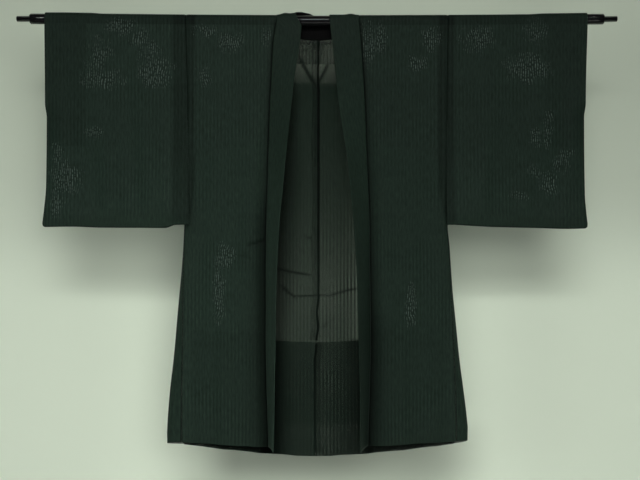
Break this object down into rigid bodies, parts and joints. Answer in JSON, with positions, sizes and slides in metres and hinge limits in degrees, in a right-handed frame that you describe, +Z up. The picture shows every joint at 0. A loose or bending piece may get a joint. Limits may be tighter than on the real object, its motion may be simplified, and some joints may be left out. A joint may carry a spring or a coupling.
{
  "type": "haori jacket on a rod",
  "caption": "Open-fronted sheer haori jacket with bag sleeves, hung flat on a lacquered rod that runs through both sleeves.",
  "frame": {"origin": "middle of the rod's axis, where the rod holds the jacket", "axes": "+X along the rod to the right as seen from the front, +Y from the front of the jacket to its back, +Z up"},
  "size_m": [1.38, 0.0819, 1.026],
  "materials": {
    "silk_gauze": "sheer black-green silk gauze with fine upright leno stripes",
    "inner_gauze": "a second layer of the same gauze, inside cuffs and hem",
    "collar_gauze": "the same gauze folded to several layers, nearly opaque",
    "rod_lacquer": "glossy black lacquer on wood"
  },
  "bodies": {
    "root": {"rod": "rod_lacquer", "collar": "collar_gauze", "body_left": "silk_gauze", "body_right": "silk_gauze", "sleeve_left": "silk_gauze", "sleeve_right": "silk_gauze", "gusset_left": "silk_gauze", "gusset_right": "silk_gauze", "cuff_facing_left": "inner_gauze", "cuff_facing_right": "inner_gauze", "hem_fold_front_left": "inner_gauze", "hem_fold_front_right": "inner_gauze", "hem_fold_back_left": "inner_gauze", "hem_fold_back_right": "inner_gauze"}
  },
  "joints": []
}
